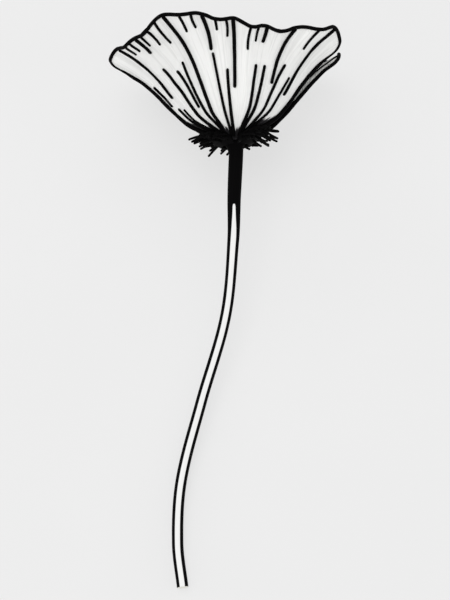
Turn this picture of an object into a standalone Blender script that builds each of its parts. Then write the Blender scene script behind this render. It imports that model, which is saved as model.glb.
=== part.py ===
"""A cut poppy flower, lying on a surface as it was picked.

Four crumpled petals stand in two layers round a capsule and its ring of stamens. Two bristly sepals cling
under them, and a long stem curves away to its cut end. The flower lies along Y with its bloom towards +Y,
and rests on the rim of its bottom petal, which is pressed flat there, and on the cut end of the stem.

Metres, +Z up, with the origin on the surface, under the middle of the flower's box.
Run it with: blender --background --python part.py
"""

import math
import random
from collections import namedtuple

import bmesh
import bpy
from mathutils import Matrix, Vector

MM = 0.001
TURN = 2 * math.pi

# How the bloom lies: where its base is, how far its axis rises from the surface, and its lean to the left
BLOOM_BASE = Vector((4.7, 66.8, 27.1)) * MM
BLOOM_TILT = math.radians(13)
BLOOM_LEAN = math.radians(-5)

# The cup that the petals share: its reach from the axis and its rise along it, at the sides and at the
# top and bottom, and how square its outline is (2 would be an ellipse)
SIDE_REACH = 48 * MM
BROAD_REACH = 39 * MM
SIDE_RISE = 39 * MM
BROAD_RISE = 43.5 * MM
CUP_SQUARENESS = 2.5
CLAW_RADIUS = 5.3 * MM
CLAW_HEIGHT = 0.9 * MM
CUP_BELLY = 0.025
CUP_WAIST = 0.032

# Pleats run from the base to the rim, the same through every layer, so that the petals never cross
PLEAT_DEPTH = 1.6 * MM
PLEAT_START = 0.12
PLEATS = ((19, 0.12, 3, 5.95, 0.49), (11, 0.43, 4, 1.48, 0.51))  # count, drift, drift count, phase, share

# Petals
PETAL_THICKNESS = 0.7 * MM
LAYER_GAP = 0.56 * MM
LAYER_OPENING = 1.3 * MM
OWN_WAVE = 0.7 * MM
OWN_WAVE_COUNT = 0.8
EDGE_CURL = 0.9 * MM
CLAW_SHARE = 0.62
CLAW_LENGTH = 0.3
PETAL_ROWS = 10
BROAD_COLUMNS = 48
NARROW_COLUMNS = 38
SETTLE = 0.5 * MM

# Sepals: where each faces, how far up the cup its tip is and the seed of its bristles, and how they follow
# the cup under the petals
SEPALS = {"sepal_left": (math.radians(180), 0.17, 3), "sepal_right": (math.radians(0), 0.19, 5)}
SEPAL_THICKNESS = 1.1 * MM
SEPAL_OFFSET = 2.15 * MM
SEPAL_FOOT = -0.012
SEPAL_SPREAD = math.radians(84)
SEPAL_FALL = 0.62
SEPAL_NARROWING = 0.08
SEPAL_COLUMNS = 16
SEPAL_ROWS = 5

# Bristles: where they stand on a sepal, which way they lean, and their size
BRISTLES = 42
BRISTLE_ACROSS = 0.93
BRISTLE_ALONG = (0.04, 0.94)  # squares of the shares along the sepal, so that they are spread evenly
BRISTLE_OUTWARDS = (0.6, 1.0)
BRISTLE_UPWARDS = (-0.25, 0.55)
BRISTLE_SIDEWAYS = 0.55
BRISTLE_LENGTH = (4.0 * MM, 6.2 * MM)
BRISTLE_ROOT = 0.6 * MM
BRISTLE_POINT = 0.5 * MM
BRISTLE_SUNK = 0.6 * MM

# Stem: its radius at points measured down the axis from the bloom's base, then along the run to the cut end
RECEPTACLE = ((2.0, 3.2), (1.6, 4.2), (0.8, 4.8), (0.0, 4.9), (-1.0, 4.3), (-2.5, 3.5), (-5.0, 3.1))
STEM_RADIUS = 2.35 * MM
NECK_RADIUS = 3.1 * MM
NECK_LENGTH = 0.3
STEM_RUN = 182 * MM
STEM_END_TILT = math.radians(2.5)
STEM_POINTS = 34
STEM_SIDEWAYS = (  # share of the run, and how far to the right in millimetres
    (0.0, 0.0), (0.1, -0.8), (0.2, -1.2), (0.38, -4.5),
    (0.58, -14.7), (0.76, -22.8), (0.9, -24.1), (1.0, -21.9),
)

# Stamens
STAMENS = 44
STAMEN_RING_RADIUS = 4.15 * MM
STAMEN_RING_WIRE = 0.75 * MM
STAMEN_RING_HEIGHT = 2.75 * MM
STAMEN_RING_STEPS = 28
STAMEN_SEED = 11
STAMEN_LENGTH = (9.5 * MM, 13.5 * MM)
STAMEN_SPLAY = (math.radians(17), math.radians(40))
FILAMENT_RADIUS = 0.38 * MM
FILAMENT_TAPER = 0.9
ANTHER = Vector((0.62, 0.62, 1.25)) * MM
GOLDEN_TURN = TURN * (3 - math.sqrt(5)) / 2

# Capsule: its turned outline from top to bottom, as radius and height in millimetres, and its rays
CAPSULE = (
    (0, 14.9), (1.1, 14.8), (1.5, 14.4), (1.6, 13.9), (4.9, 13.3), (5.3, 12.7), (4.9, 12.2), (3.5, 11.9),
    (4.1, 10.4), (4.5, 8.2), (4.3, 6.0), (3.6, 4.0), (2.9, 2.9), (2.8, 2.35), (0, 2.35),
)
CAPSULE_SIDES = 20
RAYS = 9
RAY_SIZE = Vector((4.2, 0.8, 0.9)) * MM
RAY_START = 0.95 * MM
RAY_HEIGHT = 13.72 * MM
RAY_FALL = math.radians(10)

COLOURS = {
    "petal_tissue": ((0.86, 0.86, 0.85), 0.6),
    "sepal_skin": ((0.02, 0.02, 0.02), 0.7),
    "stem_skin": ((0.72, 0.73, 0.71), 0.5),
    "stamen_tissue": ((0.03, 0.03, 0.03), 0.7),
    "capsule_skin": ((0.55, 0.57, 0.53), 0.6),
}

# Each petal: where it faces round the axis and its half spread, its layer (1 outer, -1 inner), its columns,
# and its rim: how far along the cup it is, its slope across the petal, the fall of its corners, and the
# phase of its waves. Across grows with the angle round the axis.
Petal = namedtuple("Petal", "facing spread layer columns rim slope fall phase")
PETALS = {
    "petal_top": Petal(math.radians(-93), math.radians(84), 1, BROAD_COLUMNS, 1.01, -0.09, 0.0, 2.88),
    "petal_bottom": Petal(math.radians(85), math.radians(84), 1, BROAD_COLUMNS, 0.96, -0.08, 0.19, 1.9),
    "petal_left": Petal(math.radians(180), math.radians(62), -1, NARROW_COLUMNS, 0.95, 0.02, 0.1, 3.1),
    "petal_right": Petal(math.radians(0), math.radians(62), -1, NARROW_COLUMNS, 0.95, 0.06, 0.12, 0.96),
}
RIM_WAVES = ((0.88, 0.076), (2.07, 0.015), (5.85, 0.004))  # waves in half the petal's width, and their height


def clear_scene():
    for old in list(bpy.data.objects):
        bpy.data.objects.remove(old)


def new_collection(name, helper=False):
    made = bpy.data.collections.new(name)
    made.hide_render = helper
    bpy.context.scene.collection.children.link(made)
    return made


def new_material(name):
    colour, roughness = COLOURS[name]
    made = bpy.data.materials.new(name)
    made.use_nodes = True
    shader = made.node_tree.nodes["Principled BSDF"]
    shader.inputs["Base Color"].default_value = (*colour, 1)
    shader.inputs["Roughness"].default_value = roughness
    shader.inputs["Metallic"].default_value = 0
    return made


def add_object(name, data, collection, parent=None, material=None):
    made = bpy.data.objects.new(name, data)
    collection.objects.link(made)
    made.parent = parent
    if material:
        data.materials.clear()
        data.materials.append(material)
    return made


def mesh_from(bm, name):
    """The bmesh as a smooth mesh with its faces pointing outwards."""
    mesh = bpy.data.meshes.new(name)
    bm.to_mesh(mesh)
    bm.free()
    mesh.shade_smooth()
    return mesh


def smooth_step(share):
    share = min(max(share, 0.0), 1.0)
    return share * share * (3 - 2 * share)


def bloom_matrix():
    """Carries the bloom's own frame, with its axis up Z, X to the right and -Y upwards, into place."""
    lie_down = Matrix.Rotation(BLOOM_TILT - math.pi / 2, 4, "X")
    return Matrix.Translation(BLOOM_BASE) @ lie_down @ Matrix.Rotation(BLOOM_LEAN, 4, "Y")


def cup_point(around, along, outward):
    """A point of the cup: round its axis, along it from the claws at 0 to the rim at 1, and out from it."""
    reach = (
        abs(math.cos(around) / SIDE_REACH) ** CUP_SQUARENESS
        + abs(math.sin(around) / BROAD_REACH) ** CUP_SQUARENESS
    ) ** (-1 / CUP_SQUARENESS) - CLAW_RADIUS
    rise = SIDE_RISE + (BROAD_RISE - SIDE_RISE) * math.sin(around) ** 2
    swing = math.sin(TURN * along)
    turn = TURN * math.cos(TURN * along)
    climb = Vector((reach * (1 + CUP_BELLY * turn), rise * (1 - CUP_WAIST * turn))).normalized()
    radius = CLAW_RADIUS + reach * (along + CUP_BELLY * swing) + outward * climb.y
    height = CLAW_HEIGHT + rise * (along - CUP_WAIST * swing) - outward * climb.x
    return Vector((radius * math.cos(around), radius * math.sin(around), height))


def pleat_depth(around, along):
    wave = sum(
        share * math.cos(count * around + drift * math.sin(drift_count * around) + phase)
        for count, drift, drift_count, phase, share in PLEATS
    )
    return PLEAT_DEPTH * wave * smooth_step((along - PLEAT_START) / (1 - PLEAT_START))


def rim_share(petal, across):
    """How far along the cup the petal's rim is, at -1 to 1 across it."""
    waves = sum(
        height * math.sin(TURN * count * across + petal.phase * (1 + order))
        for order, (count, height) in enumerate(RIM_WAVES)
    )
    return petal.rim + petal.slope * across + waves - petal.fall * abs(across) ** 5


def petal_point(petal, across, along):
    """A point of a petal's mid-surface, in the bloom's frame."""
    share = along * rim_share(petal, across)
    opening = CLAW_SHARE + (1 - CLAW_SHARE) * smooth_step(share / CLAW_LENGTH)
    around = petal.facing + across * petal.spread * opening
    own = OWN_WAVE * math.sin(TURN * OWN_WAVE_COUNT * across + petal.phase) * share**2
    curl = EDGE_CURL * abs(across) ** 8 * share
    outward = petal.layer * (LAYER_GAP + LAYER_OPENING * share**2 + curl) + own + pleat_depth(around, share)
    return cup_point(around, share, outward)


def pressed_flat(mesh, thickness):
    """A petal's mesh, with what would be under the surface that the flower lies on pressed flat on it.

    Solidify keeps one face's points in the first half of the list and the other's in the second half.
    """
    place = bloom_matrix()
    lift = place.inverted()
    points = [place @ vertex.co for vertex in mesh.vertices]
    half = len(points) // 2
    first_is_lower = sum(point.z for point in points[:half]) < sum(point.z for point in points[half:])
    for number, (vertex, point) in enumerate(zip(mesh.vertices, points)):
        lowest = 0 if (number < half) == first_is_lower else thickness
        over = point.z - lowest
        if over < -SETTLE:
            point.z = lowest
        elif over < SETTLE:
            point.z = lowest + (over + SETTLE) ** 2 / (4 * SETTLE)
        vertex.co = lift @ point
    return mesh


def shell(name, columns, rows, place_point, thickness):
    """A sheet of a given thickness from a formula for its middle, at -1 to 1 across and 0 to 1 along."""
    bm = bmesh.new()
    bmesh.ops.create_grid(bm, x_segments=columns, y_segments=rows, size=1)
    for vertex in bm.verts:
        vertex.co = place_point(vertex.co.x, (vertex.co.y + 1) / 2)
    bmesh.ops.triangulate(bm, faces=bm.faces[:])
    sheet = bpy.data.objects.new(name, mesh_from(bm, name))
    bpy.context.scene.collection.objects.link(sheet)
    solid = sheet.modifiers.new("thickness", "SOLIDIFY")
    solid.thickness = thickness
    solid.offset = 0
    return applied(sheet)


def applied(obj):
    """The evaluated mesh of an object, which is then removed."""
    name = obj.name
    graph = bpy.context.evaluated_depsgraph_get()
    mesh = bpy.data.meshes.new_from_object(obj.evaluated_get(graph))
    bpy.data.objects.remove(obj)
    mesh.name = name
    return mesh


def fused(name, body_mesh, repeats):
    """One mesh of the body and its repeats, joined by a single Boolean union on their collection."""
    helpers = new_collection(name + "_repeats", helper=True)
    for number, mesh in enumerate(repeats):
        add_object(f"{name}_repeat_{number}", mesh, helpers)
    body = bpy.data.objects.new(name, body_mesh)
    bpy.context.scene.collection.objects.link(body)
    union = body.modifiers.new("union", "BOOLEAN")
    union.operation = "UNION"
    union.operand_type = "COLLECTION"
    union.collection = helpers
    union.solver = "MANIFOLD"
    mesh = applied(body)
    for helper in list(helpers.objects):
        bpy.data.objects.remove(helper)
    bpy.data.collections.remove(helpers)
    return mesh


def stood_at(point, direction):
    """Carries a shape's own Z to a direction, and its middle to a point."""
    return Matrix.Translation(point) @ direction.to_track_quat("Z", "Y").to_matrix().to_4x4()


def rod(root, direction, length, root_radius, point_radius):
    """A tapered three-sided rod from its root along a direction."""
    bm = bmesh.new()
    bmesh.ops.create_cone(
        bm, cap_ends=True, cap_tris=True, segments=3, radius1=root_radius, radius2=point_radius, depth=length
    )
    bmesh.ops.transform(bm, matrix=stood_at(root + direction * length / 2, direction), verts=bm.verts)
    return mesh_from(bm, "rod")


def make_petal(name, parts, frame, material):
    petal = PETALS[name]
    mesh = shell(name, petal.columns, PETAL_ROWS, lambda *place: petal_point(petal, *place), PETAL_THICKNESS)
    return add_object(name, pressed_flat(mesh, PETAL_THICKNESS), parts, frame, material)


def make_sepal(name, parts, frame, material):
    """Half of the bristly calyx: a cupped bract that follows the petals, with bristles all over it."""
    facing, tip, seed = SEPALS[name]

    def place_point(across, along, outward=SEPAL_OFFSET):
        share = SEPAL_FOOT + (tip - SEPAL_FOOT) * along * (1 - SEPAL_FALL * across**2)
        around = facing + across * SEPAL_SPREAD * (1 - SEPAL_NARROWING * along**2)
        return cup_point(around, share, outward)

    draw = random.Random(seed)
    bristles = []
    for _ in range(BRISTLES):
        across = draw.uniform(-BRISTLE_ACROSS, BRISTLE_ACROSS)
        along = math.sqrt(draw.uniform(*BRISTLE_ALONG))
        foot = place_point(across, along)
        outwards = (place_point(across, along, SEPAL_OFFSET + MM) - foot).normalized()
        upwards = (place_point(across, along + 0.05) - foot).normalized()
        way = outwards.cross(upwards) * draw.uniform(-BRISTLE_SIDEWAYS, BRISTLE_SIDEWAYS)
        way += outwards * draw.uniform(*BRISTLE_OUTWARDS)
        way += upwards * draw.uniform(*BRISTLE_UPWARDS)
        way.normalize()
        root = foot + outwards * (SEPAL_THICKNESS / 2) - way * BRISTLE_SUNK
        bristles.append(rod(root, way, draw.uniform(*BRISTLE_LENGTH), BRISTLE_ROOT, BRISTLE_POINT))
    bract = shell(name, SEPAL_COLUMNS, SEPAL_ROWS, place_point, SEPAL_THICKNESS)
    return add_object(name, fused(name, bract, bristles), parts, frame, material)


def make_stamens(parts, frame, material):
    """A ring round the capsule's foot, with filaments splayed by the golden angle and an anther on each."""
    bpy.ops.mesh.primitive_torus_add(
        major_radius=STAMEN_RING_RADIUS,
        minor_radius=STAMEN_RING_WIRE,
        major_segments=STAMEN_RING_STEPS,
        minor_segments=6,
    )
    ring_object = bpy.context.object
    ring = ring_object.data
    bpy.data.objects.remove(ring_object)
    ring.transform(Matrix.Translation((0, 0, STAMEN_RING_HEIGHT)))
    draw = random.Random(STAMEN_SEED)
    repeats = []
    for number in range(STAMENS):
        around = GOLDEN_TURN * number
        splay = STAMEN_SPLAY[0] + (STAMEN_SPLAY[1] - STAMEN_SPLAY[0]) * number / STAMENS
        out = Vector((math.cos(around), math.sin(around), 0))
        way = (out * math.sin(splay) + Vector((0, 0, math.cos(splay)))).normalized()
        root = out * STAMEN_RING_RADIUS + Vector((0, 0, STAMEN_RING_HEIGHT))
        length = draw.uniform(*STAMEN_LENGTH)
        repeats.append(rod(root, way, length, FILAMENT_RADIUS, FILAMENT_RADIUS * FILAMENT_TAPER))
        bm = bmesh.new()
        bmesh.ops.create_icosphere(bm, subdivisions=1, radius=1)
        place = stood_at(root + way * length, way) @ Matrix.Diagonal((*ANTHER, 1))
        bmesh.ops.transform(bm, matrix=place, verts=bm.verts)
        repeats.append(mesh_from(bm, "anther"))
    return add_object("stamens", fused("stamens", ring, repeats), parts, frame, material)


def make_capsule(parts, frame, material):
    """The ovary: a turned barrel under a flat cap, with raised rays on it."""
    bm = bmesh.new()
    outline = [bm.verts.new((radius * MM, 0, height * MM)) for radius, height in CAPSULE]
    for upper, lower in zip(outline, outline[1:]):
        bm.edges.new((upper, lower))
    barrel = bpy.data.objects.new("capsule", mesh_from(bm, "capsule"))
    bpy.context.scene.collection.objects.link(barrel)
    turn = barrel.modifiers.new("turn", "SCREW")
    turn.steps = turn.render_steps = CAPSULE_SIDES
    turn.use_merge_vertices = True
    turn.merge_threshold = 0.00001
    out = Matrix.Translation((RAY_START + RAY_SIZE.x / 2, 0, RAY_HEIGHT)) @ Matrix.Rotation(RAY_FALL, 4, "Y")
    rays = []
    for number in range(RAYS):
        bm = bmesh.new()
        bmesh.ops.create_cube(bm, size=1)
        place = Matrix.Rotation(TURN * number / RAYS, 4, "Z") @ out @ Matrix.Diagonal((*RAY_SIZE, 1))
        bmesh.ops.transform(bm, matrix=place, verts=bm.verts)
        rays.append(mesh_from(bm, "ray"))
    return add_object("capsule", fused("capsule", applied(barrel), rays), parts, frame, material)


def through(points, share):
    """The smooth curve through (share, value) points, read at a share."""
    last = len(points) - 1
    index = next((i for i in range(last) if share <= points[i + 1][0]), last - 1)
    (x0, y0), (x1, y1) = points[index], points[index + 1]

    def slope(i):
        before, after = points[max(i - 1, 0)], points[min(i + 1, last)]
        return (after[1] - before[1]) / (after[0] - before[0])

    width = x1 - x0
    t = (share - x0) / width
    start, end = slope(index) * width, slope(index + 1) * width
    return (
        y0 * (2 * t**3 - 3 * t**2 + 1)
        + start * (t**3 - 2 * t**2 + t)
        + y1 * (3 * t**2 - 2 * t**3)
        + end * (t**3 - t**2)
    )


def stem_point(share, start):
    """The stem's centre line, from under the bloom at 0 to the cut end at 1."""
    end_height = STEM_RADIUS / math.cos(STEM_END_TILT)
    heights = (
        start.z * (2 * share**3 - 3 * share**2 + 1)
        - math.tan(BLOOM_TILT) * STEM_RUN * (share**3 - 2 * share**2 + share)
        + end_height * (3 * share**2 - 2 * share**3)
        - math.tan(STEM_END_TILT) * STEM_RUN * (share**3 - share**2)
    )
    sideways = start.x + through(STEM_SIDEWAYS, share) * MM
    return Vector((sideways, start.y - STEM_RUN * share, heights))


def make_stem(parts, material):
    """The receptacle that carries every other piece and the stem below it, as one tube of changing width."""
    place = bloom_matrix()
    route = [(place @ Vector((0, 0, height * MM)), radius * MM) for height, radius in RECEPTACLE]
    start = route[-1][0]
    for number in range(1, STEM_POINTS + 1):
        share = number / STEM_POINTS
        taper = 1 - smooth_step(share / NECK_LENGTH)
        route.append((stem_point(share, start), STEM_RADIUS + (NECK_RADIUS - STEM_RADIUS) * taper))
    curve = bpy.data.curves.new("stem", "CURVE")
    curve.dimensions = "3D"
    curve.bevel_depth = STEM_RADIUS
    curve.bevel_resolution = 4
    curve.use_fill_caps = True
    spline = curve.splines.new("POLY")
    spline.points.add(len(route) - 1)
    for point, (place_of, radius) in zip(spline.points, route):
        point.co = (*place_of, 1)
        point.radius = radius / STEM_RADIUS
    spline.use_smooth = True
    return add_object("stem", curve, parts, None, material)


def main():
    clear_scene()
    parts = new_collection("poppy_flower")
    frame = add_object("bloom_frame", None, parts)
    frame.matrix_world = bloom_matrix()
    materials = {name: new_material(name) for name in COLOURS}
    make_stem(parts, materials["stem_skin"])
    for name in PETALS:
        make_petal(name, parts, frame, materials["petal_tissue"])
    for name in SEPALS:
        make_sepal(name, parts, frame, materials["sepal_skin"])
    make_stamens(parts, frame, materials["stamen_tissue"])
    make_capsule(parts, frame, materials["capsule_skin"])


main()
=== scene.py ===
"""The look of a cut poppy flower that lies on a pale surface.

Its petals are thin white tissue, creased as they unfolded from the bud, with raised black veins and a black
rim. Two black bristly sepals hold them, and the stem is pale between three dark ribs. The shapes follow the
formulas that the solids were made from, with finer rims and creases, and most pieces lie close to their
solids. Some differ: petal_bottom is narrower than its solid, mostly on its left, petal_right is a little
shorter, the bristles are fewer and spread evenly, and the stamens are more and finer. Metres, +Z up.
"""

import math
import random
from collections import namedtuple

import bmesh
import bpy
from mathutils import Matrix, Vector, noise


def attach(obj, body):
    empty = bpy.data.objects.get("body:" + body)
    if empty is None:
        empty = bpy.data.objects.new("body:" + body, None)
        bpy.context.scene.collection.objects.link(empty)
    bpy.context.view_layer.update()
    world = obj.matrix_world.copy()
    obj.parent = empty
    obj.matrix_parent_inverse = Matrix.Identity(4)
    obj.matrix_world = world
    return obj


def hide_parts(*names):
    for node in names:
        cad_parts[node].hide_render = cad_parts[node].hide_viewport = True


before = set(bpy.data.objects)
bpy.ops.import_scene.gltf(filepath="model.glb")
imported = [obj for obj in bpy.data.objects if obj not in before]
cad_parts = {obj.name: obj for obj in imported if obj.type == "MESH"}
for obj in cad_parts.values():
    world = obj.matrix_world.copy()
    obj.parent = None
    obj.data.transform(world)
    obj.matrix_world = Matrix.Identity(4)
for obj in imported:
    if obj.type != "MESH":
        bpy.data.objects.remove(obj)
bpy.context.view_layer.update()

MM = 0.001
TURN = 2 * math.pi
GOLDEN_SHARE = (3 - math.sqrt(5)) / 2  # steps of this share of a turn or a width spread things evenly

# How the bloom lies, and the cup that its petals share, as in the solids
BLOOM_BASE = Vector((4.7, 66.8, 27.1)) * MM
BLOOM_TILT = math.radians(13)
BLOOM_LEAN = math.radians(-5)
SIDE_REACH = 48 * MM
BROAD_REACH = 39 * MM
SIDE_RISE = 39 * MM
BROAD_RISE = 43.5 * MM
CUP_SQUARENESS = 2.5
CLAW_RADIUS = 5.3 * MM
CLAW_HEIGHT = 0.9 * MM
CUP_BELLY = 0.025
CUP_WAIST = 0.032

# The pleats that run from the base to the rim: count, drift, drift count, phase, share
PLEAT_DEPTH = 1.6 * MM
PLEAT_START = 0.12
PLEATS = ((19, 0.12, 3, 5.95, 0.49), (11, 0.43, 4, 1.48, 0.51))

# The petals' layers, as in the solids
SOLID_THICKNESS = 0.7 * MM
LAYER_GAP = 0.56 * MM
LAYER_OPENING = 1.3 * MM
OWN_WAVE = 0.7 * MM
OWN_WAVE_COUNT = 0.8
CLAW_SHARE = 0.62
CLAW_LENGTH = 0.3
FALL_POWER = 5
CURL_POWER = 8
SETTLE = 0.5 * MM

# What the petals have beyond the solids: thin tissue, plain sides, rounded corners, creases and facets
TISSUE_THICKNESS = 0.3 * MM
PLAIN_EDGE = 0.16  # the pleats fade out over this share of the half width, towards each side edge
CORNER_WIDTH = 0.084
CORNER_FALL = 0.095
RIM_LENGTH = 130 * MM
PETAL_LENGTH = 56 * MM
WANDER_SIZE = (11, 14)  # across and along, in millimetres, as are the sizes of the creases and the facets
CREASE_SIZE = (2.4, 17.0)
CREASE_WANDER = 1.6
CREASE_DEPTH = 0.16 * MM
FACET_SIZE = (7.5, 12.0)
FACET_WANDER = (0.7, -0.5)
FACET_LEVEL = 0.3
FACET_DEPTH = 0.35 * MM
CRINKLE_START = 0.2
COLUMN_WIDTH = 0.5 * MM
MEAN_REACH = 0.85
PETAL_ROWS = 112

# The black blotch: how far up the petal it reaches, and the depth of its feathered edge
OUTER_BLOTCH = (0.2, 0.14)
INNER_BLOTCH = (0.32, 0.22)
BLOTCH_BOW = 3.2  # how steeply it reaches further up towards the petal's sides

# Each petal: where it faces round the axis and its half spread, in degrees, its layer (1 outer, -1 inner),
# its rim's height, slope, fall at the sides and phase of the waves, how far its two side edges curl away, in
# millimetres, and the seed of its veins
Petal = namedtuple("Petal", "facing spread layer rim slope fall phase curls seed")
PETALS = {
    name: Petal(math.radians(facing), math.radians(spread), *others)
    for name, facing, spread, *others in (
        ("petal_top", -93, 84, 1, 1.01, -0.087, 0.0, 2.93, (1.4, 1.4), 4),
        ("petal_bottom", 75.5, 72.5, 1, 0.96, -0.063, 0.19, 0.58, (4.4, 0.9), 7),
        ("petal_left", 180, 62, -1, 0.95, 0.02, 0.1, 3.1, (1.4, 1.4), 12),
        ("petal_right", 0, 62, -1, 0.9, 0.058, 0.12, 0.96, (1.4, 1.4), 15),
    )
}
# Waves along the rim: how many there are in half the petal's width, their height and their shift
RIM_WAVES = ((0.897, 0.081, 0.0), (1.99, 0.017, -0.72), (4.25, 0.008, 2.79))

# The raised black lines: the rim's, which is wider and stands higher down the petal's sides, and the veins
RIM_LINE = 1.6 * MM
SIDE_SWELL = 0.4
SIDE_LIFT = 0.6 * MM
LIFT_STEEPNESS = 6
VEIN_WIDE = 1.7 * MM
VEIN_THIN = 1.25 * MM
VEIN_LIFT = 0.3 * MM
VEIN_TAPER = 0.15
VEIN_TIP = 0.05
VEIN_POINTS = 44
RIM_LINE_POINTS = 380
SIDE_LINE_POINTS = 90
LINE_SIDES = 10

# Where the veins run, in shares of the petal's half width and of its length, and how long each kind is
VEIN_TOP = 0.995
VEIN_FOOT = 0.03
VEIN_REACH = 0.95
VEIN_LIMIT = 0.96
VEIN_ROOM = 0.046
VEIN_BOW = 0.09  # for a vein as long as the petal, and less for a shorter one
FOLD_STEPS = 600
FOLD_MARGIN = 12
FOLD_VEINS = ((0.5, 0.62), (0.16, 0.24), (0.86, 0.94), (0.3, 0.4), (0.55, 0.7), (0.12, 0.2), (0.4, 0.5))
BASE_VEIN = (0.3, 0.72)
BASE_VEINS = 13
BASE_REACH = 0.93
BASE_JITTER = (0.2, 0.8)
SHORT_VEIN = (0.1, 0.24)
SHORT_TRIES = 30
LOOSE_VEIN = (0.16, 0.3)
LOOSE_START = (0.45, 0.8)
LOOSE_TRIES = 12

# Sepals: where each faces, how far up the cup its tip is, as in the solids, and the seed of its bristles
SEPALS = {"sepal_left": (math.radians(180), 0.17, 3), "sepal_right": (math.radians(0), 0.19, 5)}
SEPAL_THICKNESS = 1.1 * MM
SEPAL_OFFSET = 2.15 * MM
SEPAL_FOOT = -0.012
SEPAL_SPREAD = math.radians(84)
SEPAL_FALL = 0.62
SEPAL_NARROWING = 0.08
SEPAL_TEETH = 9.5
SEPAL_TOOTH = 0.03
SEPAL_COLUMNS = 72
SEPAL_ROWS = 24
SEPAL_STEP = 0.05
BRISTLES = 27
BRISTLE_ACROSS = 0.95
BRISTLE_ALONG = 0.97
BRISTLE_OUTWARDS = (0.6, 1.0)
BRISTLE_UPWARDS = (0.25, 1.1)
BRISTLE_SIDEWAYS = 0.55
BRISTLE_LENGTH = (4.6 * MM, 7.2 * MM)
BRISTLE_SUNK = 0.6 * MM
BRISTLE_RADIUS = 0.57 * MM
BRISTLE_TAPER = 0.12
BRISTLE_BEND = 0.35 * MM
BRISTLE_ROUND_FROM = 0.9
BRISTLE_STEPS = 24
BRISTLE_SIDES = 9

# The stem: its radius at points measured down the axis from the bloom's base, then along its run, and the
# profile of its cut end, as steps down and shares of the radius
RECEPTACLE = ((-2.0, 3.2), (-1.6, 4.2), (-0.8, 4.8), (0.0, 4.9), (1.0, 4.3), (2.5, 3.5), (5.0, 3.1))
STEM_RADIUS = 2.35 * MM
NECK_RADIUS = 3.1 * MM
NECK_LENGTH = 0.3
STEM_RUN = 182 * MM
STEM_END_TILT = math.radians(2.5)
STEM_SIDEWAYS = (
    (0.0, 0.0), (0.1, -0.8), (0.2, -1.2), (0.38, -4.5),
    (0.58, -14.7), (0.76, -22.8), (0.9, -24.1), (1.0, -21.9),
)
STEM_RIBS = 3
STEM_GROOVE_DEPTH = 0.13 * MM
GROOVE_EDGE = 0.06
PALE_SHARE = 0.46
PALE_START = 27 * MM
PALE_TIP = 1.6 * MM
PALE_WIDENING = 16 * MM
PALE_TIP_SHARE = 0.48
STEM_SIDES = 72
STEM_ROWS = 420
RECEPTACLE_ROWS = 24
CUT_PROFILE = (
    (0.0, 0.97), (0.012, 0.9), (0.02, 0.72), (-0.02, 0.6), (-0.12, 0.4), (-0.16, 0.2), (-0.17, 0.0),
)
CUT_DEPTH = 3  # in millimetres, for the first numbers of the profile

# Stamens, more and finer than the solids', and the capsule
STAMENS = 130
STAMEN_RING_RADIUS = 4.15 * MM
STAMEN_RING_WIRE = 0.75 * MM
STAMEN_RING_HEIGHT = 2.75 * MM
STAMEN_RING_COLUMNS = 64
STAMEN_RING_ROWS = 12
STAMEN_SEED = 11
STAMEN_LENGTH = (9.5 * MM, 13.5 * MM)
STAMEN_SPLAY = (math.radians(15), math.radians(40))
FILAMENT_RADIUS = 0.2 * MM
FILAMENT_BOW = 1.1 * MM
FILAMENT_BOW_AT = 0.55
FILAMENT_STEPS = 6
FILAMENT_SIDES = 5
ANTHER = Vector((0.36, 0.55, 1.2)) * MM
ANTHER_LOBE_OFFSET = 0.75
CAPSULE = (
    (0, 14.9), (1.1, 14.8), (1.5, 14.4), (1.6, 13.9), (4.9, 13.3), (5.3, 12.7), (4.9, 12.2), (3.5, 11.9),
    (4.1, 10.4), (4.5, 8.2), (4.3, 6.0), (3.6, 4.0), (2.9, 2.9), (2.8, 2.35), (0, 2.35),
)
CAP_POINTS = 5
CAPSULE_COLUMNS = 144
CAPSULE_ROWS = 90
RAYS = 9
RAY_WIDTH = 0.95 * MM
RAY_RISE = 0.45 * MM
RAY_REACH = (0.9 * MM, 5.1 * MM)
RAY_END = 0.5 * MM
CAPSULE_SEAM = 0.035
SEAM_POWER = 8

# The camera: the frame, the pixel that the bloom's base falls on, and the size of a pixel there
FRAME_WIDTH = 450
FRAME_HEIGHT = 600
BASE_COLUMN = 235
BASE_ROW = 143
PIXEL = 0.43 * MM
CAMERA_ELEVATION = math.radians(70)
LENS = 100
SENSOR = 36
CLIP_START = 0.05

# The stage: a wide table with a painted glow that fills in shadow, an even surround, and a softbox up on the
# left
FLOOR_SIZE = 6
FLOOR_DROP = 0.02 * MM
TABLE_GLOW = 0.575
SURROUND_STRENGTH = 0.9
SOFTBOX_SIZE = 1.5
SOFTBOX_POWER = 7
SOFTBOX_PLACE = Vector((-0.5, 0.2, 1.6))


# Forms that the solids share, though their rims are plainer

def smooth_step(share):
    share = min(max(share, 0.0), 1.0)
    return share * share * (3 - 2 * share)


def bloom_matrix():
    """Carries the bloom's own frame, with its axis up Z, X to the right and -Y upwards, into place."""
    lie_down = Matrix.Rotation(BLOOM_TILT - math.pi / 2, 4, "X")
    return Matrix.Translation(BLOOM_BASE) @ lie_down @ Matrix.Rotation(BLOOM_LEAN, 4, "Y")


BLOOM = bloom_matrix()


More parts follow.
